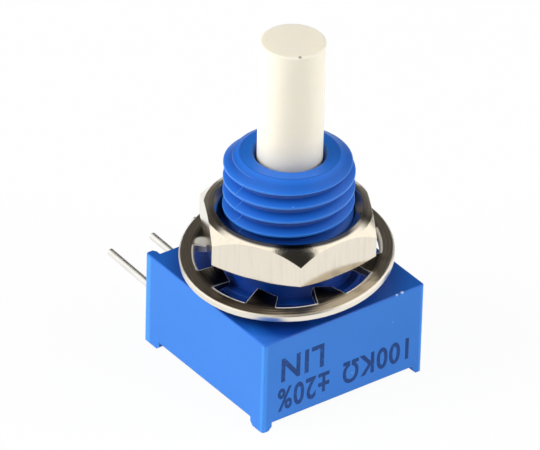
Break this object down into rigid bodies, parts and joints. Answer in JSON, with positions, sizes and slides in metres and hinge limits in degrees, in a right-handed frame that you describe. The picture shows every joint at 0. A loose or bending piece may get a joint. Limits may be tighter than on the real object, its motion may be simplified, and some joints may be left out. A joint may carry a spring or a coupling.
{
  "type": "panel mount potentiometer",
  "caption": "Small sealed rotary potentiometer with a square blue body, threaded bushing, plain round shaft, hex nut, toothed lock washer and side-leaving wire pins.",
  "frame": {"origin": "on the shaft's axis, at the panel seat on the body's front", "axes": "+Z along the shaft towards the knob end, +Y towards the terminals, -Y the face that carries the print"},
  "size_m": [0.0104, 0.0164, 0.018],
  "materials": {
    "blue_plastic": "satin",
    "ivory_plastic": "satin",
    "seal_rubber": "matt",
    "spring_alloy": "bright",
    "ceramic": "matt, fired",
    "resistive_film": "matt, fired",
    "conductor_film": "satin, fired",
    "tinned_wire": "tinned",
    "solder": "bright",
    "epoxy": "satin",
    "nickel_plate": "bright",
    "washer_plate": "satin"
  },
  "bodies": {
    "case": {"housing": "blue_plastic", "substrate": "ceramic", "resistive_track": "resistive_film", "collector_ring": "conductor_film", "end_pad_1": "conductor_film", "end_pad_3": "conductor_film", "terminal_1": "tinned_wire", "terminal_2": "tinned_wire", "terminal_3": "tinned_wire", "solder_1": "solder", "solder_2": "solder", "solder_3": "solder", "rear_seal": "epoxy", "lock_washer": "washer_plate"},
    "rotor": {"shaft": "ivory_plastic", "shaft_seal": "seal_rubber", "wiper": "spring_alloy"},
    "nut": {"hex_nut": "nickel_plate"}
  },
  "joints": [
    {"name": "shaft_turn", "type": "hinge", "parent": "case", "child": "rotor", "pos_m": [0, 0, 0], "axis": [0, 0, 1], "range_deg": [-150, 150]},
    {"name": "nut_travel", "type": "slide", "parent": "case", "child": "nut", "axis": [0, 0, 1], "range_m": [0, 0.01191]}
  ]
}
